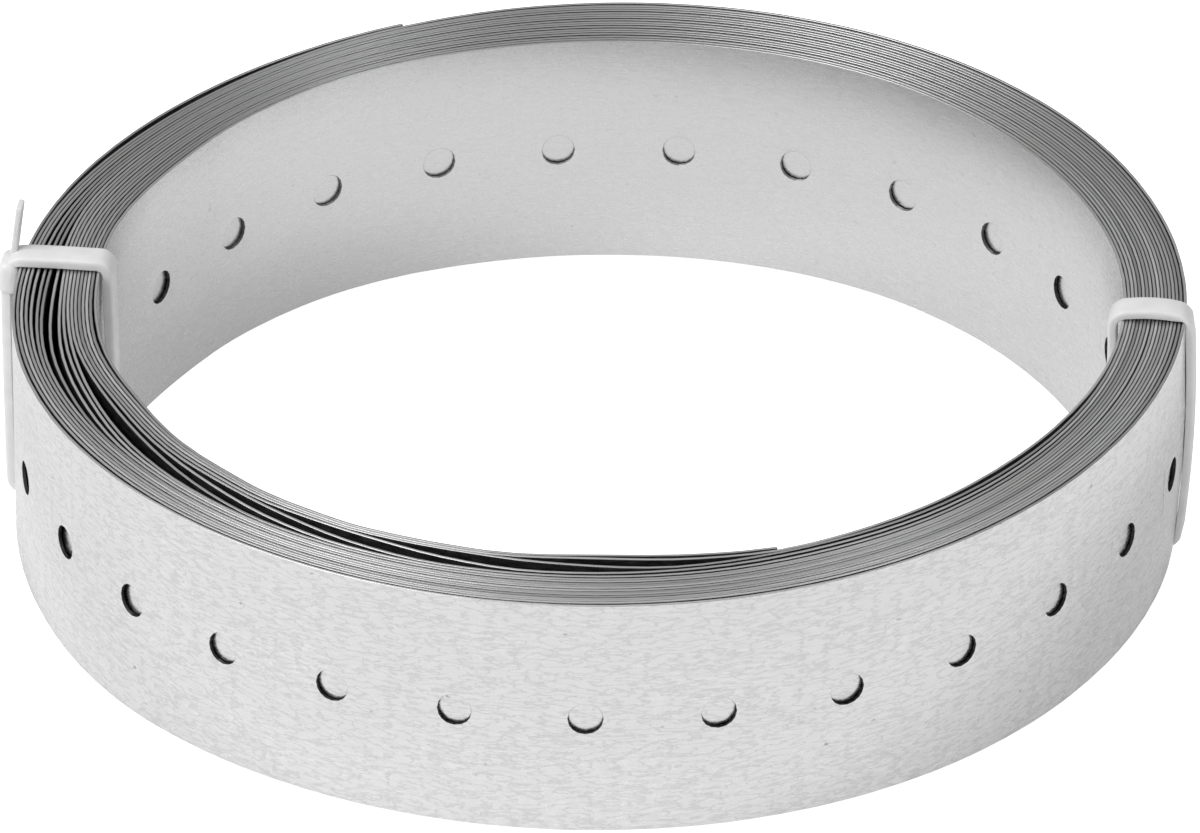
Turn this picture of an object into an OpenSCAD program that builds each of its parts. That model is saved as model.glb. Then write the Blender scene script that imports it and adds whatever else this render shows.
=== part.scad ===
// Coil of perforated galvanised steel strap, lying flat, held by two nylon cable ties.
// Millimetres. +Z is up, the origin is on the coil's axis at the height of the floor,
// and the front of the coil faces -Y.

/* [Strap] */
// Width of the strap, which is the height of the coil
strap_width = 30; // [15:1:60]
// Thickness of the strap
strap_thickness = 0.4; // [0.3:0.05:1.0]
// Diameter of a nail hole
hole_d = 4; // [2:0.1:6]
// Distance between nail holes along the strap
hole_pitch = 15; // [10:0.5:30]
// Distance from the strap's outer end to its first nail hole
first_hole = 7.5; // [5:0.5:15]

/* [Coil] */
// Outside diameter of the coil
coil_d = 136.2; // [90:0.1:300]
// Number of half turns in the coil
half_turns = 35; // [9:2:61]
// Room between one turn and the next
turn_gap = 0.092; // [0.01:0.002:0.2]
// Width of the groove that rounded strap edges leave between two turns
groove_w = 0.14; // [0.08:0.02:0.3]
// Depth of that groove in the ends of the coil
groove_depth = 0.4; // [0.2:0.1:2]
// Direction of the strap's outer end, seen from above, in degrees
outer_end = 110.1; // [0:0.1:360]

/* [Ties] */
// Width of a tie's band
tie_w = 3.5; // [2.5:0.1:7]
// Thickness of a tie's band
tie_t = 1.0; // [0.8:0.1:1.6]
// Room between a tie and the sides of the coil
tie_room = 0.3; // [0.1:0.05:1]
// Direction of the left tie, in degrees
tie_left_at = 171; // [150:1:200]
// Direction of the right tie, in degrees
tie_right_at = -6; // [-30:1:20]
// Width of a tie's locking head
head_w = 5.4; // [4:0.1:10]
// Length of a locking head along the band
head_l = 5.2; // [4:0.1:10]
// How much thicker a locking head is than the band
head_extra = 0.5; // [0.3:0.1:2]
// How far the left tie's tail stands above its band
tail_l = 5.6; // [2:0.1:20]
// Width of the tail
tail_w = 3; // [2:0.1:6]
// Thickness of the tail
tail_t = 0.6; // [0.4:0.1:1]
// Lean of the tail towards the coil's axis, in degrees
tail_lean = 7; // [0:1:12]

/* [Hidden] */
$fn = 128;

// Winding: one turn to the next, and the half step between the two centres
turn_pitch = strap_thickness + turn_gap;
centre_step = turn_pitch / 4;
coil_r = coil_d / 2;
coil_base = tie_t;
coil_top = coil_base + strap_width;
hole_z = coil_base + strap_width / 2;

// Even half turns lie on one side of the coil and odd ones on the other
even_turns = ceil(half_turns / 2);
odd_turns = floor(half_turns / 2);

// Half turn k: outside radius, middle radius, centre and where its arc starts along the strap
function turn_r(k) = coil_r - k * turn_pitch / 2;
function middle_r(k) = turn_r(k) - strap_thickness / 2;
function turn_centre(k) = k % 2 == 0 ? centre_step : -centre_step;
function arc_start(k) = PI * (k * middle_r(0) - turn_pitch * k * (k - 1) / 4);
function hole_turn_angle(k, i) =
    180 * (k % 2) + (first_hole + i * hole_pitch - arc_start(k)) / middle_r(k) * 180 / PI;

// The room that a tie has to go round
inner_r = min(turn_r(half_turns - 1), turn_r(half_turns - 2)) - strap_thickness - centre_step;
outer_r = coil_r + centre_step;
band_in = inner_r - tie_room;
band_out = outer_r + tie_room;

// Radii of the grooves between n turns whose outermost radius is r, from the inside out
function groove_radii(r, n) = [for (i = [n - 1:-1:1]) r - i * turn_pitch + turn_gap / 2];

// One end of the coil's section at height z, with a V groove between turns, cut towards side
function grooved_end(r, n, z, side) = concat(
    [[r - (n - 1) * turn_pitch - strap_thickness, z]],
    [for (g = groove_radii(r, n))
        each [[g - groove_w / 2, z], [g, z + side * groove_depth], [g + groove_w / 2, z]]],
    [[r, z]]
);

function reversed(points) = [for (i = [len(points) - 1:-1:0]) points[i]];

// Half of the coil: n half turns about one centre, turned through 180 degrees
module half_coil(r, n) {
    rotate_extrude(angle = 180)
        polygon(concat(
            grooved_end(r, n, coil_base, 1),
            reversed(grooved_end(r, n, coil_top, -1))
        ));
}

// Cutter for the nail holes of half turn k, between radii low and high about its centre
module turn_holes(k, low, high) {
    first = ceil((arc_start(k) - first_hole) / hole_pitch);
    last = floor((arc_start(k + 1) - first_hole) / hole_pitch);
    translate([turn_centre(k), 0, 0])
        for (i = [first:last])
            rotate([0, 0, hole_turn_angle(k, i)])
                translate([low, 0, hole_z])
                    rotate([0, 90, 0])
                        cylinder(d = hole_d, h = high - low);
}

// Holes of an outermost half turn end at the turn below, and those of an innermost one at the turn above
module outer_holes(k) {
    turn_holes(k, turn_r(k) - strap_thickness, turn_r(k) + hole_d);
}

module inner_holes(k) {
    turn_holes(k, turn_r(k) - strap_thickness - hole_d, turn_r(k));
}

// The wound strap: two turned halves on centres half a pitch apart, so that the turns run into each other
module strap_coil() {
    color("silver")
        rotate([0, 0, outer_end])
            difference() {
                union() {
                    translate([centre_step, 0, 0])
                        half_coil(turn_r(0), even_turns);
                    translate([-centre_step, 0, 0])
                        rotate([0, 0, 180])
                            half_coil(turn_r(1), odd_turns);
                }
                outer_holes(0);
                outer_holes(1);
                inner_holes(half_turns - 2);
                inner_holes(half_turns - 1);
            }
}

// Rectangle from low to high with round corners of radius r
module round_rectangle(low, high, r) {
    translate([low.x + r, low.y])
        square([high.x - low.x - 2 * r, high.y - low.y]);
    translate([low.x, low.y + r])
        square([high.x - low.x, high.y - low.y - 2 * r]);
    for (x = [low.x + r, high.x - r])
        for (y = [low.y + r, high.y - r])
            translate([x, y])
                circle(r = r);
}

// Stands a radial section up in the XZ plane, w wide across the band
module across_band(w) {
    rotate([90, 0, 0])
        linear_extrude(w, center = true)
            children();
}

// Closed loop of band round the coil's section
module tie_band() {
    across_band(tie_w)
        difference() {
            round_rectangle(
                [band_in - tie_t, coil_base - tie_t],
                [band_out + tie_t, coil_top + tie_t],
                tie_room + tie_t
            );
            round_rectangle([band_in, coil_base], [band_out, coil_top], tie_room);
        }
}

// Low locking head of length head_l with its base at z, from the band's inner face outwards in direction side
module tie_head(face, side, z) {
    head_t = tie_t + head_extra;
    across_band(head_w)
        round_rectangle(
            [side > 0 ? face : face - head_t, z],
            [side > 0 ? face + head_t : face, z + head_l],
            tie_t / 2
        );
}

// End of the band, which has come up through the outer top corner of the left tie
module tie_tail() {
    translate([outer_r, 0, coil_top])
        rotate([0, -tail_lean, 0])
            translate([-tail_t, -tail_w / 2, tie_t / 2])
                cube([tail_t, tail_w, tail_l + tie_t / 2]);
}

module tie_left() {
    color("whitesmoke")
        rotate([0, 0, tie_left_at]) {
            tie_band();
            tie_head(band_out, 1, coil_top - head_l);
            tie_tail();
        }
}

module tie_right() {
    color("whitesmoke")
        rotate([0, 0, tie_right_at]) {
            tie_band();
            tie_head(band_in, -1, coil_base + head_l);
        }
}

strap_coil();
tie_left();
tie_right();
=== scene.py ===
import math

import bmesh
import bpy
import numpy as np
from mathutils import Matrix, Vector


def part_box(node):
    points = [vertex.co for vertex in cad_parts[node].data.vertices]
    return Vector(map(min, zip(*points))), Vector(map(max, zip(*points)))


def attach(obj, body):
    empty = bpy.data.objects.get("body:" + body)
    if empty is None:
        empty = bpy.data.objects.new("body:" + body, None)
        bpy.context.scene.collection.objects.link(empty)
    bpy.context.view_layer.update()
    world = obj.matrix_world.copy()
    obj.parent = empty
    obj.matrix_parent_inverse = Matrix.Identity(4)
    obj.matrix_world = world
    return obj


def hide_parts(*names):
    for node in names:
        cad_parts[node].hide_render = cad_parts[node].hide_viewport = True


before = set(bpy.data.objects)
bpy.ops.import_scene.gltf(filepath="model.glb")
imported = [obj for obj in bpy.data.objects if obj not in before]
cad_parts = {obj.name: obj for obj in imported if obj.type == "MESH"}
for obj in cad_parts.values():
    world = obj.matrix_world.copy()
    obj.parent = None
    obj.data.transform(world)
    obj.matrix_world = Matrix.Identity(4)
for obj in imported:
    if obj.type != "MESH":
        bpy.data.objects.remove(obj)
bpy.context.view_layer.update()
print("frame loaded:", ", ".join(sorted(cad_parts)))

mm = 0.001
tiny = 0.01 * mm  # nearer than this is the same place
sharpFold = 1.0  # radians; a sharper fold is an edge to round
coilLow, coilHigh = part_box("strap_coil")

strap = {
    "width": coilHigh.z - coilLow.z,
    "thickness": 0.4 * mm,
    "holeRadius": 2 * mm,
    "holePitch": 15 * mm,  # the first hole is half a pitch from the outer end
    "holes": 467,
    "coilRadius": 68.1 * mm,  # nominal, as the holes are spaced
    "turnPitch": 0.492 * mm,
    "outerEnd": 110.1,  # direction of the outer end, degrees
    "outerHoles": 28,  # open holes on the outermost turn
    "innerHoles": 25,  # and on the innermost
    "edgeRound": 0.14 * mm,
    "holeRound": 0.04 * mm,
    "holeDip": 0.03 * mm,  # how far punching has pulled a hole's rim in
}
strapLength = strap["holes"] * strap["holePitch"]

# How the turns really lie. Directions are in degrees, sizes in mm.
winding = {
    "meanRadius": 67.36,
    "lobes": [(1, 0.41, -36), (2, 0.16, -19), (3, 0.5, -53), (4, 0.16, 5)],  # count, size, direction
    "bulges": [(0.25, -8, 30), (0.25, 105, 40), (0.2, 140, 35)],  # size, direction, reach
    "lean": (-1.07, 0.28),  # how far the lower edges lie to one side of the upper ones
    "lowDent": (0.65, 195, 25),  # and where they are pressed in: size, direction, reach
    "sideBulge": (0.6, -5, 35),  # where the turns stand out at half height
    "closeGap": 0.022,
    "easyGaps": [  # extra room between all turns, direction and reach
        (0.1, 62, 70), (0.07, 95, 45), (0.035, 152, 34),
        (0.03, 154, 18), (0.044, 205, 34), (0.02, 270, 70),
    ],
    "firstGap": 0.05,  # the outermost turn is a little looser
    "wander": (0.06, 0.83, 2.13),  # how far a turn's edge stands up or down, and two rates along the strap
    "openGaps": {  # by turn, where it has sprung inwards: direction, reach and opening
        1: [(138, 27, 0.5), (207, 22, 0.12), (236, 26, 0.06), (290, 45, 0.1)],
        2: [(173, 12, 0.08), (294, 14, 0.16), (345, 22, 0.07)],
        3: [(180, 14, 0.1)],
        4: [(172, 20, 0.24)],
        5: [(176, 20, 0.34)],
        6: [(172, 20, 0.2)],
        7: [(182, 24, 0.6), (198, 10, 0.12)],
        8: [(188, 24, 0.62), (204, 8, 0.12)],
        9: [(198, 20, 0.34), (335, 30, 0.13)],
        10: [(192, 14, 0.18), (209, 12, 0.18)],
        11: [(209, 23, 1.26)],
        12: [(205, 12, 0.22), (224, 18, 0.85)],
        13: [(212, 14, 0.15), (232, 20, 1.1), (285, 60, 0.24)],
        14: [(218, 14, 0.12), (244, 19, 1.35), (288, 55, 0.28)],
        15: [(226, 14, 0.1), (259, 20, 1.55), (300, 45, 0.36)],
        16: [(273, 18, 1.35), (318, 30, 0.5)],
        17: [(189, 22, 0.2), (278, 17, 0.38)],
    },
}


# A smooth hump: 1 at 0, falling to 0 at 1 and -1
def lens(x):
    return (1 - x * x) ** 2 if abs(x) < 1 else 0.0


# The same about a direction, falling to 0 a reach away on either side
def humpAt(direction, at, reach):
    return lens(((direction - at + 180) % 360 - 180) / reach)


# Radius of the coil's outside in a direction, without the step at the strap's end
def outline(direction):
    radius = winding["meanRadius"]
    for count, size, at in winding["lobes"]:
        radius += size * math.cos(count * math.radians(direction - at))
    for size, at, reach in winding["bulges"]:
        radius += size * humpAt(direction, at, reach)
    return radius


# Room between the strap and the turn outside it, at an angle wound so far
def gapOutside(angle):
    direction = strap["outerEnd"] + angle
    gap = winding["closeGap"]
    for room, at, reach in winding["easyGaps"]:
        gap += room * humpAt(direction, at, reach)
    if angle < 2 * 360:
        gap += winding["firstGap"]
    for turn, openings in winding["openGaps"].items():
        for at, reach, opening in openings:
            centre = at - strap["outerEnd"] + 360 * turn
            gap += opening * lens((angle - centre) / reach)
    return gap


# Outside radius of the strap for every half degree, each turn resting in the one before it
def windTurns(stepsPerTurn=720):
    count = int(turnAngle(strapLength) / 360 * stepsPerTurn) + 2
    layer = strap["thickness"] / mm
    angles = [i * 360 / stepsPerTurn for i in range(count)]
    radii = []
    for i, angle in enumerate(angles):
        if i < stepsPerTurn:
            ramp = (layer + gapOutside(360)) * (angle / 360 - 0.5)
            radii.append(outline(strap["outerEnd"] + angle) - ramp)
        else:
            radii.append(radii[i - stepsPerTurn] - layer - gapOutside(angle))
    return np.array(angles), np.array(radii) * mm


# Angle wound so far, in degrees, at a length along the strap
def turnAngle(along):
    startRadius = strap["coilRadius"] - strap["thickness"] / 2 + strap["turnPitch"] / 4
    shrink = strap["turnPitch"] / (2 * math.pi)
    return math.degrees((startRadius - math.sqrt(startRadius ** 2 - 2 * shrink * along)) / shrink)


windAngles, windRadii = windTurns()


# Where a place on an upright coil comes to lie on this one, whose lower edges have moved aside
def leaning(place):
    low = 1 - (place.z - coilLow.z) / strap["width"]
    direction = math.degrees(math.atan2(place.y, place.x))
    outwards = Vector((place.x, place.y, 0)).normalized()
    dent, *dentPlace = winding["lowDent"]
    bulge, *bulgePlace = winding["sideBulge"]
    aside = -dent * low * humpAt(direction, *dentPlace)
    aside += bulge * max(4 * low * (1 - low), 0) * humpAt(direction, *bulgePlace)
    return place + (Vector((*winding["lean"], 0)) * low + outwards * aside) * mm


# Inner and outer radius of the coil's wall in a direction
def wallAt(direction):
    turns = (direction - strap["outerEnd"]) % 360 + 360 * np.arange(windAngles[-1] // 360 + 1)
    turns = turns[turns <= windAngles[-1]]
    radii = np.interp(turns, windAngles, windRadii)
    return radii.min() - strap["thickness"], radii.max()


walls = [wallAt(direction) for direction in range(0, 360, 30)]
print("turns wound, wall in mm:", ", ".join("%.2f" % ((outer - inner) / mm) for inner, outer in walls))


def newMaterial(name):
    material = bpy.data.materials.new(name)
    material.use_nodes = True
    tree = material.node_tree
    return material, tree.nodes, tree.links, tree.nodes["Principled BSDF"]


def addNode(nodes, kind, **values):
    node = nodes.new(kind)
    for key, value in values.items():
        setattr(node, key, value)
    return node


# Noise stretched along a piece, as a value from 0 to 1
def streakGroup():
    tree = bpy.data.node_groups.new("streaks", "ShaderNodeTree")
    for name in ("Vector", "Stretch"):
        tree.interface.new_socket(name, in_out="INPUT", socket_type="NodeSocketVector")
    for name in ("Detail", "Low", "High"):
        tree.interface.new_socket(name, in_out="INPUT", socket_type="NodeSocketFloat")
    tree.interface.new_socket("Value", in_out="OUTPUT", socket_type="NodeSocketFloat")
    nodes, links = tree.nodes, tree.links
    given = nodes.new("NodeGroupInput")
    result = nodes.new("NodeGroupOutput")
    scale = addNode(nodes, "ShaderNodeVectorMath", operation="MULTIPLY")
    noise = addNode(nodes, "ShaderNodeTexNoise", noise_dimensions="3D")
    noise.inputs["Scale"].default_value = 1
    spread = addNode(nodes, "ShaderNodeMapRange", clamp=True)
    links.new(given.outputs["Vector"], scale.inputs[0])
    links.new(given.outputs["Stretch"], scale.inputs[1])
    links.new(scale.outputs[0], noise.inputs["Vector"])
    links.new(given.outputs["Detail"], noise.inputs["Detail"])
    links.new(noise.outputs["Fac"], spread.inputs["Value"])
    links.new(given.outputs["Low"], spread.inputs["From Min"])
    links.new(given.outputs["High"], spread.inputs["From Max"])
    links.new(spread.outputs["Result"], result.inputs["Value"])
    return tree


streaks = streakGroup()


def addStreaks(nodes, links, source, stretch, low, high, detail=3.0):
    group = nodes.new("ShaderNodeGroup")
    group.node_tree = streaks
    group.inputs["Stretch"].default_value = stretch
    group.inputs["Detail"].default_value = detail
    group.inputs["Low"].default_value = low
    group.inputs["High"].default_value = high
    links.new(source, group.inputs["Vector"])
    return group.outputs["Value"]


def addMix(nodes, links, factor, first, second):
    mix = addNode(nodes, "ShaderNodeMix", data_type="RGBA", blend_type="MIX")
    links.new(factor, mix.inputs["Factor"])
    for socket, value in ((mix.inputs["A"], first), (mix.inputs["B"], second)):
        if isinstance(value, float):
            socket.default_value = (value, value, value, 1)
        else:
            links.new(value, socket)
    return mix.outputs["Result"]


def addMath(nodes, links, operation, *values):
    node = addNode(nodes, "ShaderNodeMath", operation=operation)
    for socket, value in zip(node.inputs, values):
        if isinstance(value, float):
            socket.default_value = value
        else:
            links.new(value, socket)
    return node.outputs[0]


def addRange(nodes, links, value, start, end, first=0.0, last=1.0):
    node = addNode(nodes, "ShaderNodeMapRange", clamp=True)
    links.new(value, node.inputs["Value"])
    node.inputs["From Min"].default_value, node.inputs["From Max"].default_value = start, end
    node.inputs["To Min"].default_value, node.inputs["To Max"].default_value = first, last
    return node.outputs["Result"]


def addRelief(nodes, links, shader, height, strength, depth):
    bump = nodes.new("ShaderNodeBump")
    bump.inputs["Strength"].default_value = strength
    bump.inputs["Distance"].default_value = depth
    links.new(height, bump.inputs["Height"])
    links.new(bump.outputs["Normal"], shader.inputs["Normal"])


# Each point's place along, through and across the strap
def addStrapPlace(nodes):
    return addNode(nodes, "ShaderNodeAttribute", attribute_name="alongStrap").outputs["Vector"]


# 1 at the front of the coil, falling to 0 at its back
def addFrontness(nodes, links, back, front):
    place = nodes.new("ShaderNodeTexCoord")
    parts = nodes.new("ShaderNodeSeparateXYZ")
    links.new(place.outputs["Object"], parts.inputs[0])
    return addRange(nodes, links, parts.outputs["Y"], back * mm, front * mm)


outerZinc = {
    "light": 0.80,
    "dark": 0.68,
    "cloud": 0.74,
    "line": 0.62,
    "speck": 0.4,
    "roughness": (0.2, 0.3),
    "relief": 0.1,
}
# the inside of the coil: the same zinc as outside, smoother, its darker tone painted shade
innerZincShaded = {
    "light": 0.69,
    "dark": 0.65,
    "cloud": 0.67,
    "line": 0.65,
    "speck": 0.6,
    "roughness": (0.24, 0.3),
    "relief": 0.03,
}
# painted shade: zinc faces hidden between turns, darkened so the gaps between turns read as shade
shadedBetweenZinc = {
    "light": 0.16,
    "dark": 0.1,
    "cloud": 0.13,
    "line": 0.08,
    "speck": 0.08,
    "roughness": (0.4, 0.5),
    "relief": 0.03,
}
zincPatterns = {  # repeats per metre along, through and across the strap, range of the noise, detail
    "fine": ((560, 900, 2200), 0.36, 0.64, 4),
    "waves": ((340, 700, 1300), 0.25, 0.75, 3),
    "cloud": ((70, 70, 110), 0.3, 0.7, 2),
    "specks": ((700, 900, 1100), 0.74, 0.80, 1),
}
zincLine = 0.1  # width of the dark line along a wave's middle value
zincReliefDepth = 0.05 * mm


# Bright zinc: fine wavy lines along the strap, soft clouds and a few specks
def zincMaterial(name, look):
    material, nodes, links, shader = newMaterial(name)
    place = addStrapPlace(nodes)
    fine, waves, cloud, specks = [addStreaks(nodes, links, place, *p) for p in zincPatterns.values()]
    aside = addMath(nodes, links, "ABSOLUTE", addMath(nodes, links, "SUBTRACT", waves, 0.5))
    lines = addRange(nodes, links, aside, 0, zincLine, 1, 0)
    tone = addMix(nodes, links, fine, look["dark"], look["light"])
    clouded = addMix(nodes, links, cloud, tone, look["cloud"])
    lined = addMix(nodes, links, lines, clouded, look["line"])
    color = addMix(nodes, links, specks, lined, look["speck"])
    links.new(color, shader.inputs["Base Color"])
    shader.inputs["Metallic"].default_value = 1
    links.new(addRange(nodes, links, fine, 0, 1, *look["roughness"]), shader.inputs["Roughness"])
    addRelief(nodes, links, shader, fine, look["relief"], zincReliefDepth)
    return material


edgeLook = {
    "light": 1.0,
    "dark": 0.88,
    "dull": 0.5,  # tone of the duller turns
    # tone of the edges at the back: painted shade
    "back": 0.5,
    # tone of the painted shade along both corners, in the crevices between turns
    "corner": 0.16,
    "roughness": 0.45,
    "grain": ((300, 2500, 900), 0.35, 0.65),
    "stripes": ((9, 0, 0), 0.35, 0.65, 1),
    "shadeFade": (45, 5),  # mm towards the back, where the painted shade on the edges is full and where it starts
    # mm towards the back, where the painted crevice shade has gone and where it is full
    "creviceShadeFade": (60, 5),
    "creviceShade": (0.25, 0.48),  # share of the thickness from its middle, where the painted shade of the crevices between turns starts and is full
}


# Slit edges: bare steel, brighter on some turns than on others, with painted shade along both corners in
# the crevices between turns, and painted shade darkening them towards the back
def cutEdgeMaterial():
    material, nodes, links, shader = newMaterial("slitSteel")
    place = addStrapPlace(nodes)
    grain = addStreaks(nodes, links, place, *edgeLook["grain"])
    stripes = addStreaks(nodes, links, place, *edgeLook["stripes"])
    bare = addMix(nodes, links, grain, edgeLook["dark"], edgeLook["light"])
    striped = addMix(nodes, links, stripes, edgeLook["dull"], bare)
    # painted shade: the edges darken towards the back of the coil
    steel = addMix(nodes, links, addFrontness(nodes, links, *edgeLook["shadeFade"]), edgeLook["back"], striped)
    parts = nodes.new("ShaderNodeSeparateXYZ")
    links.new(place, parts.inputs[0])
    offset = addMath(nodes, links, "SUBTRACT", parts.outputs["Y"], strap["thickness"] / 2)
    # painted shade in the crevices between turns, along both corners, fading out towards the back
    start, full = [share * strap["thickness"] for share in edgeLook["creviceShade"]]
    corner = addRange(nodes, links, addMath(nodes, links, "ABSOLUTE", offset), start, full)
    creviceShade = addMath(nodes, links, "MULTIPLY", corner, addFrontness(nodes, links, *edgeLook["creviceShadeFade"]))
    color = addMix(nodes, links, creviceShade, steel, edgeLook["corner"])
    links.new(color, shader.inputs["Base Color"])
    shader.inputs["Metallic"].default_value = 1
    shader.inputs["Roughness"].default_value = edgeLook["roughness"]
    return material


shadedHoleLook = {
    # tones of the walls, painted dark as shade inside the holes
    "light": 0.08,
    "dark": 0.03,
    # lighter tone at the back, where the painted shade lifts
    "back": 0.4,
    "roughness": 0.55,
    "grain": ((1500, 900, 1500), 0.35, 0.65),
    "shadeFade": (56, 26),  # mm towards the back, where the painted shade on the walls has lifted and where it is full, as for the edges
}


# Punched hole walls: torn steel, painted dark as the shade inside the holes, but for those at the back
def holeWallMaterial():
    material, nodes, links, shader = newMaterial("punchedSteelShaded")
    grain = addStreaks(nodes, links, addStrapPlace(nodes), *shadedHoleLook["grain"])
    torn = addMix(nodes, links, grain, shadedHoleLook["dark"], shadedHoleLook["light"])
    # painted shade: the walls are dark at the front and lighter towards the back
    color = addMix(nodes, links, addFrontness(nodes, links, *shadedHoleLook["shadeFade"]), shadedHoleLook["back"], torn)
    links.new(color, shader.inputs["Base Color"])
    shader.inputs["Metallic"].default_value = 1
    shader.inputs["Roughness"].default_value = shadedHoleLook["roughness"]
    return material


nylonLook = {
    "light": 0.82,
    "dark": 0.76,
    "roughness": 0.42,
    "mottle": ((420, 420, 420), 0.3, 0.7),
    "relief": 0.05,
    "reliefDepth": 0.1 * mm,
    "clearness": 0.3,
    "lightReach": (1.2 * mm, 1.1 * mm, 1.0 * mm),  # into the nylon, for red, green and blue
}


# Natural nylon: nearly white, a little see-through, faintly mottled
def nylonMaterial():
    material, nodes, links, shader = newMaterial("naturalNylon")
    place = nodes.new("ShaderNodeTexCoord")
    mottle = addStreaks(nodes, links, place.outputs["Object"], *nylonLook["mottle"])
    color = addMix(nodes, links, mottle, nylonLook["dark"], nylonLook["light"])
    links.new(color, shader.inputs["Base Color"])
    shader.inputs["Roughness"].default_value = nylonLook["roughness"]
    shader.inputs["Subsurface Weight"].default_value = nylonLook["clearness"]
    shader.inputs["Subsurface Radius"].default_value = nylonLook["lightReach"]
    addRelief(nodes, links, shader, mottle, nylonLook["relief"], nylonLook["reliefDepth"])
    return material


def finishPiece(bm, name, materials, node):
    mesh = bpy.data.meshes.new(name)
    bm.to_mesh(mesh)
    bm.free()
    piece = bpy.data.objects.new(name, mesh)
    for material in materials:
        mesh.materials.append(material)
    bpy.context.scene.collection.objects.link(piece)
    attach(piece, "root")
    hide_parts(node)
    mesh.calc_loop_triangles()
    print("%s: %d triangles" % (name, len(mesh.loop_triangles)))


def sharpEdges(bm, angle):
    return [e for e in bm.edges if len(e.link_faces) == 2 and e.calc_face_angle(0) > angle]


def roundOff(bm, geom, radius, segments, affect="EDGES"):
    bmesh.ops.bevel(bm, geom=geom, offset=radius, offset_type="OFFSET",
                    segments=segments, profile=0.5, affect=affect, material=-1)


def smoothShading(bm, angle):
    for face in bm.faces:
        face.smooth = True
    for edge in sharpEdges(bm, angle):
        edge.smooth = False


holeFrame = 7.5 * mm  # square round a hole that its ring of faces fills
frameColumns = 6
plainColumns = 5
ringRadius = 2.4 * mm
strapCrease = math.radians(15)  # sharper folds are shaded as edges
sideFacing = 0.9  # share of a normal along y, above which a face is on one of the strap's two sides
innerStart = strap["holes"] - strap["innerHoles"]  # first open hole of the innermost turn
outerReach = strap["outerHoles"] * strap["holePitch"]  # the open holes lie before this
innerReach = innerStart * strap["holePitch"]  # and after this


# A flat run of strap, one column of faces after another
# x is along the strap, y is its depth and z its width
def addRun(bm, firstCell, cells, pierced):
    pitch = strap["holePitch"]
    if pierced:
        side = (pitch - holeFrame) / 2
        places = [0] + [side + holeFrame * i / frameColumns for i in range(frameColumns + 1)]
    else:
        places = [pitch * i / plainColumns for i in range(plainColumns)]
    rows = [-strap["width"] / 2, -holeFrame / 2, holeFrame / 2, strap["width"] / 2]
    columns = len(places) * cells
    made = bmesh.ops.create_grid(bm, x_segments=columns, y_segments=3, size=0.5)
    for vert in made["verts"]:
        column = round((vert.co.x + 0.5) * columns)
        row = round((vert.co.y + 0.5) * 3)
        cell, place = divmod(column, len(places))
        vert.co = ((firstCell + cell) * pitch + places[place], 0, rows[row])


def toRing(face, radius):
    centre = Vector((math.floor(face.calc_center_median().x / strap["holePitch"]) + 0.5, 0, 0))
    centre *= strap["holePitch"]
    for vert in face.verts:
        vert.co = centre + (vert.co - centre).normalized() * radius


# Turns the middle square of every pierced cell into a round hole
def openHoles(bm):
    pitch = strap["holePitch"]
    middle = []
    for face in bm.faces:
        centre = face.calc_center_median()
        inFrame = abs(centre.x % pitch - pitch / 2) < holeFrame / 2 and abs(centre.z) < mm
        if inFrame and (centre.x < outerReach or centre.x > innerReach):
            middle.append(face)
    squares = bmesh.ops.dissolve_faces(bm, faces=middle)["region"]
    sides = [e for f in squares for e in f.edges]
    uprights = [e for e in sides if abs(e.verts[0].co.x - e.verts[1].co.x) < tiny]
    bmesh.ops.bisect_edges(bm, edges=uprights, cuts=frameColumns - 1)
    bmesh.ops.inset_individual(bm, faces=squares, thickness=mm, use_even_offset=True)
    for face in squares:
        toRing(face, ringRadius)
    bmesh.ops.inset_individual(bm, faces=squares, thickness=ringRadius - strap["holeRadius"])
    for face in squares:
        toRing(face, strap["holeRadius"])
        bmesh.ops.translate(bm, verts=face.verts[:], vec=(0, strap["holeDip"], 0))
    bmesh.ops.delete(bm, geom=squares, context="FACES_ONLY")


def distanceFromHole(place):
    pitch = strap["holePitch"]
    return math.hypot(place.x % pitch - pitch / 2, place.z)


# The whole strap laid flat, with the holes that will show
def layFlat(bm):
    addRun(bm, 0, strap["outerHoles"], True)
    addRun(bm, strap["outerHoles"], innerStart - strap["outerHoles"], False)
    addRun(bm, innerStart, strap["innerHoles"], True)
    bmesh.ops.remove_doubles(bm, verts=bm.verts[:], dist=tiny)
    openHoles(bm)
    bmesh.ops.solidify(bm, geom=bm.faces[:], thickness=strap["thickness"])
    bmesh.ops.recalc_face_normals(bm, faces=bm.faces[:])
    depth = min(v.co.y for v in bm.verts)
    bmesh.ops.translate(bm, verts=bm.verts[:], vec=(0, -depth, 0))


def roundStrap(bm):
    rims, edges = [], []
    for edge in sharpEdges(bm, sharpFold):
        nearHole = distanceFromHole(edge.verts[0].co) < ringRadius
        (rims if nearHole else edges).append(edge)
    roundOff(bm, edges, strap["edgeRound"], 3)
    roundOff(bm, rims, strap["holeRound"], 1)


# Gives each face its look; the second turn, outside and inside, shows through holes and stays bright, while
# faces hidden between turns get dark zinc as painted shade of the gaps
def assignLooks(bm, looks):
    for face in bm.faces:
        centre = face.calc_center_median()
        if abs(face.normal.y) < sideFacing:
            look = "holeWall" if distanceFromHole(centre) < ringRadius else "slitEdge"
        elif centre.y < strap["thickness"] / 2:
            look = "outer" if centre.x < 2 * outerReach else "between"
        else:
            look = "inner" if centre.x > 2 * innerReach - strapLength else "between"
        face.material_index = list(looks).index(look)


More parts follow.
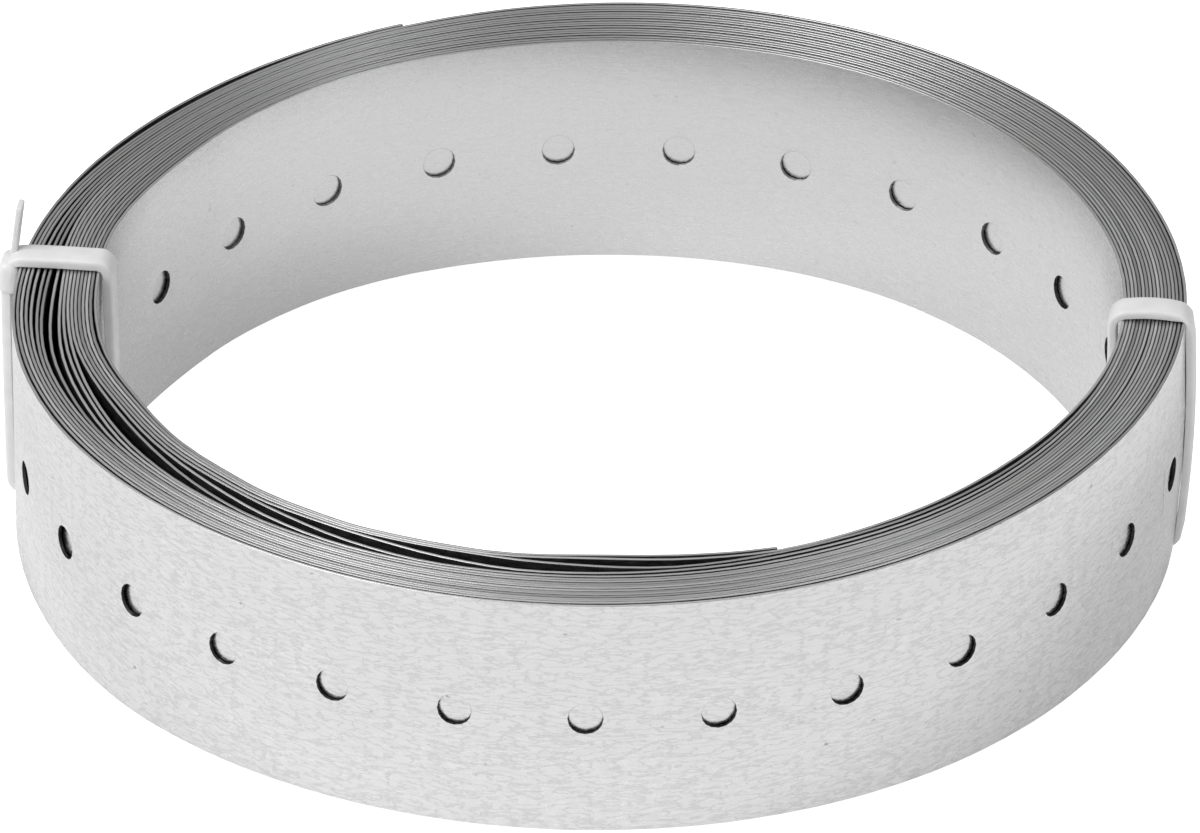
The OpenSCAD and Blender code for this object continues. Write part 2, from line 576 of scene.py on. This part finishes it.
def makeStrap():
    bm = bmesh.new()
    layFlat(bm)
    roundStrap(bm)
    looks = {
        "outer": zincMaterial("outerZinc", outerZinc),
        "inner": zincMaterial("innerZincShaded", innerZincShaded),
        "between": zincMaterial("shadedBetweenZinc", shadedBetweenZinc),
        "slitEdge": cutEdgeMaterial(),
        "holeWall": holeWallMaterial(),
    }
    assignLooks(bm, looks)
    smoothShading(bm, strapCrease)
    print("strap laid flat:", len(bm.faces), "faces")
    windUp(bm)
    finishPiece(bm, "strapCoil", looks.values(), "strap_coil")


# Rolls the flat strap on itself and keeps each point's place on the strap for the materials
def windUp(bm):
    onStrap = bm.verts.layers.float_vector.new("alongStrap")
    middleHeight = (coilLow.z + coilHigh.z) / 2
    wander, slowRate, quickRate = winding["wander"]
    for vert in bm.verts:
        along, depth, height = vert.co
        angle = turnAngle(max(along, 0))
        radius = np.interp(angle, windAngles, windRadii) - depth
        direction = math.radians(strap["outerEnd"] + angle)
        turned = math.radians(angle)
        rise = wander * mm * math.sin(slowRate * turned) * math.sin(quickRate * turned)
        vert[onStrap] = (along, depth, height)
        x, y = radius * math.cos(direction), radius * math.sin(direction)
        vert.co = leaning(Vector((x, y, middleHeight + height + rise)))


makeStrap()

tieBand = {
    "width": 3.6 * mm,
    "topClear": 0.12 * mm,
    "edgeRound": 0.45 * mm,
    "insideRound": 0.12 * mm,  # of the edges that lie on the strap
    "softBend": 2.4 * mm,  # outside radius over the coil's outer corners
    "headWidth": 4.3 * mm,
    "headLength": 4.2 * mm,
    "headExtra": 0.15 * mm,
    "bendSegments": 6,
    "runCuts": 11,  # cuts across each straight run
}
tieCrease = math.radians(40)


# Closed band in the plane x (outwards) and z, then given its width and thickness
def addBand(bm, low, high, tie):
    made = bmesh.ops.create_grid(bm, x_segments=1, y_segments=1, size=0.5)
    for vert in made["verts"]:
        x = high.x if vert.co.x > 0 else low.x
        z = high.z if vert.co.y > 0 else low.z
        vert.co = (x, -tieBand["width"] / 2, z)
    for x, bend in ((high.x, tie["bends"]["outer"]), (low.x, tie["bends"]["inner"])):
        corners = [v for v in bm.verts if abs(v.co.x - x) < tiny]
        roundOff(bm, corners, bend, tieBand["bendSegments"], "VERTICES")
    bmesh.ops.delete(bm, geom=bm.faces[:], context="FACES_ONLY")
    runs = [e for e in bm.edges if e.calc_length() > tieBand["width"] / 2]
    bmesh.ops.bisect_edges(bm, edges=runs, cuts=tieBand["runCuts"])
    middle = (low + high) / 2
    half = (high - low) / 2
    onRun = 0.99  # share of half the room's size, past which a point is on a straight run
    for vert in bm.verts:
        x = (vert.co.x - middle.x) / half.x
        z = (vert.co.z - middle.z) / half.z
        if abs(x) > onRun:
            vert.co.x += (tie["bows"]["outer"] if x > 0 else -tie["bows"]["inner"]) * lens(z)
        elif z > onRun:
            vert.co.z += tie["bows"]["top"] * lens(x)
        vert.co.x += tie["outerLean"] * z * max(x, 0)
    side = bmesh.ops.extrude_edge_only(bm, edges=bm.edges[:])["geom"]
    across = [v for v in side if isinstance(v, bmesh.types.BMVert)]
    bmesh.ops.translate(bm, verts=across, vec=(0, tieBand["width"], 0))
    bmesh.ops.recalc_face_normals(bm, faces=bm.faces[:])
    bmesh.ops.solidify(bm, geom=bm.faces[:], thickness=-tie["thickness"])
    bmesh.ops.recalc_face_normals(bm, faces=bm.faces[:])
    softenBends(bm, low, high, tie["thickness"])
    outside, inside = [], []
    for edge in sharpEdges(bm, sharpFold):
        face = min(edge.link_faces, key=lambda f: abs(f.normal.y))
        away = face.normal.dot(face.calc_center_median() - middle) > 0
        (outside if away else inside).append(edge)
    roundOff(bm, outside, tieBand["edgeRound"], 3)
    roundOff(bm, inside, tieBand["insideRound"], 3)


# Pulls the outside of a band's outer bends in to one round curve
def softenBends(bm, low, high, thickness):
    radius = tieBand["softBend"]
    x = high.x + thickness - radius
    for z, side in ((high.z + thickness - radius, 1), (low.z - thickness + radius, -1)):
        for vert in bm.verts:
            out, up = vert.co.x - x, (vert.co.z - z) * side
            reach = math.hypot(out, up)
            if out > 0 and up > 0 and reach > radius:
                vert.co.x = x + out * radius / reach
                vert.co.z = z + side * up * radius / reach


# A rounded block from low to high, leaning inwards and twisted about its foot
def addBlock(bm, low, high, rounding, lean=0.0, twist=0.0):
    made = bmesh.ops.create_cube(bm, size=1)
    verts = made["verts"]
    bmesh.ops.scale(bm, verts=verts, vec=high - low)
    bmesh.ops.translate(bm, verts=verts, vec=(low + high) / 2)
    foot = Vector((high.x, 0, low.z))
    turn = Matrix.Rotation(twist, 3, "Z") @ Matrix.Rotation(-lean, 3, "Y")
    bmesh.ops.rotate(bm, verts=verts, cent=foot, matrix=turn)
    edges = list(dict.fromkeys(e for v in verts for e in v.link_edges))
    roundOff(bm, edges, rounding, 3)


leftTie = {
    "direction": 172,
    "thickness": 1.2 * mm,
    "clear": {"outer": 0.85 * mm, "inner": 0.38 * mm},  # room beside the coil
    "bends": {"outer": 1.1 * mm, "inner": 0.7 * mm},  # inside bends over the strap's edges
    "bows": {"outer": 0.05 * mm, "inner": 0.35 * mm, "top": 0.05 * mm},
    "outerLean": 0.28 * mm,  # how far its top stands out, and its foot in
    "headTop": 0.35 * mm,  # above the coil
    "headFill": 0.8,  # share of the room beside the coil that the head takes up
    "headRound": 0.85 * mm,
    "tailLength": 5.7 * mm,
    "tailWidth": 2.4 * mm,
    "tailThickness": 0.75 * mm,
    "tailRound": 0.2 * mm,
    "tailFoot": 0.3 * mm,  # below the underside of the band
    "tailShift": (0.6 * mm, -1.2 * mm),  # outwards, and along the coil
    "tailLean": math.radians(6.5),
    "tailTwist": math.radians(1),
}
rightTie = {
    "direction": -6.7,
    "thickness": 1.0 * mm,
    "clear": {"outer": -0.05 * mm, "inner": 0.7 * mm},  # drawn tight outside
    "bends": {"outer": 0.32 * mm, "inner": 1.2 * mm},
    "bows": {"outer": 0.05 * mm, "inner": 0.35 * mm, "top": 0.25 * mm},
    "outerLean": 0,
    "headInset": 0.2 * mm,  # from the band's face on the coil
    "headRound": 0.55 * mm,
}


# The room that a tie's band goes round, in the plane x (outwards) and z
def tieRoom(tie):
    inner, outer = wallAt(tie["direction"])
    low = Vector((inner - tie["clear"]["inner"], 0, coilLow.z))
    return low, Vector((outer + tie["clear"]["outer"], 0, coilHigh.z + tieBand["topClear"]))


def placeTie(bm, direction):
    turn = Matrix.Rotation(math.radians(direction), 3, "Z")
    bmesh.ops.rotate(bm, verts=bm.verts[:], cent=(0, 0, 0), matrix=turn)
    for vert in bm.verts:
        vert.co = leaning(vert.co)
        vert.co.z = max(vert.co.z, 0)  # flat on the floor
    smoothShading(bm, tieCrease)


def makeLeftTie(nylon):
    bm = bmesh.new()
    low, high = tieRoom(leftTie)
    addBand(bm, low, high, leftTie)
    half = tieBand["headWidth"] / 2
    headIn = high.x - leftTie["headFill"] * leftTie["clear"]["outer"]
    headOut = high.x + leftTie["outerLean"] + leftTie["thickness"] + tieBand["headExtra"]
    headTop = high.z + leftTie["headTop"]
    addBlock(bm, Vector((headIn, -half, headTop - tieBand["headLength"])), Vector((headOut, half, headTop)),
             leftTie["headRound"])
    half = leftTie["tailWidth"] / 2
    out, along = leftTie["tailShift"]
    tailTop = high.z + leftTie["thickness"] + leftTie["tailLength"]
    tailIn, tailFoot = high.x + out - leftTie["tailThickness"], high.z - leftTie["tailFoot"]
    addBlock(bm, Vector((tailIn, along - half, tailFoot)), Vector((high.x + out, along + half, tailTop)),
             leftTie["tailRound"], leftTie["tailLean"], leftTie["tailTwist"])
    placeTie(bm, leftTie["direction"])
    finishPiece(bm, "tieLeft", [nylon], "tie_left")


def makeRightTie(nylon):
    bm = bmesh.new()
    low, high = tieRoom(rightTie)
    addBand(bm, low, high, rightTie)
    half = tieBand["headWidth"] / 2
    headBase = low.z + tieBand["headLength"]
    addBlock(bm, Vector((low.x - rightTie["thickness"] - tieBand["headExtra"], -half, headBase)),
             Vector((low.x - rightTie["headInset"], half, headBase + tieBand["headLength"])),
             rightTie["headRound"])
    placeTie(bm, rightTie["direction"])
    finishPiece(bm, "tieRight", [nylon], "tie_right")


nylon = nylonMaterial()
makeLeftTie(nylon)
makeRightTie(nylon)

studio = {
    "floorSize": 6.0,
    "floorTone": 0.8,
    "floorRoughness": 0.9,
    "floorShine": 0.1,
    "floorGlow": 0.2,  # light of its own besides what it throws back
    "worldTone": 0.4,
    "lightsAim": (0, 0, 15 * mm),
}


# Plain white to the camera, without the coil's shadow; the coil itself sees the lit and shaded floor
def floorMaterial():
    material, nodes, links, shader = newMaterial("paleFloor")
    tone = studio["floorTone"]
    shader.inputs["Base Color"].default_value = (tone, tone, tone, 1)
    shader.inputs["Roughness"].default_value = studio["floorRoughness"]
    shader.inputs["Specular IOR Level"].default_value = studio["floorShine"]
    ray = nodes.new("ShaderNodeLightPath")
    seen = addNode(nodes, "ShaderNodeMix", data_type="FLOAT")
    links.new(ray.outputs["Is Camera Ray"], seen.inputs["Factor"])
    seen.inputs["A"].default_value = studio["floorGlow"]
    seen.inputs["B"].default_value = 1
    shader.inputs["Emission Color"].default_value = (1, 1, 1, 1)
    links.new(seen.outputs["Result"], shader.inputs["Emission Strength"])
    return material


def makeFloor():
    bm = bmesh.new()
    bmesh.ops.create_grid(bm, x_segments=1, y_segments=1, size=studio["floorSize"] / 2)
    mesh = bpy.data.meshes.new("studioFloor")
    bm.to_mesh(mesh)
    bm.free()
    floor = bpy.data.objects.new("studioFloor", mesh)
    mesh.materials.append(floorMaterial())
    bpy.context.scene.collection.objects.link(floor)


def aimAt(thing, place, target, roll=0.0):
    look = (Vector(target) - Vector(place)).to_track_quat("-Z", "Y").to_matrix().to_4x4()
    thing.matrix_world = Matrix.Translation(place) @ look @ Matrix.Rotation(roll, 4, "Z")


softBoxes = [
    {"name": "leftSoftBox", "place": (-0.86, -0.36, 1.04), "size": 0.85, "power": 12.8},
    {"name": "rightSoftBox", "place": (0.81, -0.41, 1.06), "size": 0.35, "power": 3},
]


def makeLights():
    for box in softBoxes:
        light = bpy.data.lights.new(box["name"], "AREA")
        light.shape = "SQUARE"
        light.size = box["size"]
        light.energy = box["power"]
        lamp = bpy.data.objects.new(box["name"], light)
        bpy.context.scene.collection.objects.link(lamp)
        aimAt(lamp, box["place"], studio["lightsAim"])
    world = bpy.data.worlds.new("studioWorld")
    world.use_nodes = True
    tone = studio["worldTone"]
    world.node_tree.nodes["Background"].inputs["Color"].default_value = (tone, tone, tone, 1)
    bpy.context.scene.world = world


view = {
    "imageWidth": 1200,  # pixels
    "elevation": math.radians(31.65),
    "distance": 1395 * mm,
    "pixelsPerMm": 8.611,  # at the aim point
    "aimPixel": (602.3, 401.8),
    "centrePixel": (600, 416.5),
    "roll": math.radians(-1.10),
    "sensor": 36,  # mm
    "clip": (0.05, 20),
}


def makeCamera():
    aim = Vector((0, 0, (coilLow.z + coilHigh.z) / 2))
    lift = view["elevation"]
    place = aim + Vector((0, -math.cos(lift), math.sin(lift))) * view["distance"]
    lensData = bpy.data.cameras.new("photoCamera")
    lensData.sensor_width = view["sensor"]
    lensData.lens = view["sensor"] * view["pixelsPerMm"] * view["distance"] / mm / view["imageWidth"]
    lensData.shift_x = (view["centrePixel"][0] - view["aimPixel"][0]) / view["imageWidth"]
    lensData.shift_y = (view["aimPixel"][1] - view["centrePixel"][1]) / view["imageWidth"]
    lensData.clip_start, lensData.clip_end = view["clip"]
    camera = bpy.data.objects.new("photoCamera", lensData)
    bpy.context.scene.collection.objects.link(camera)
    aimAt(camera, place, aim, view["roll"])
    bpy.context.scene.camera = camera


makeFloor()
makeLights()
makeCamera()
bpy.context.scene.view_settings.view_transform = "Standard"
print("floor, lights and camera placed")
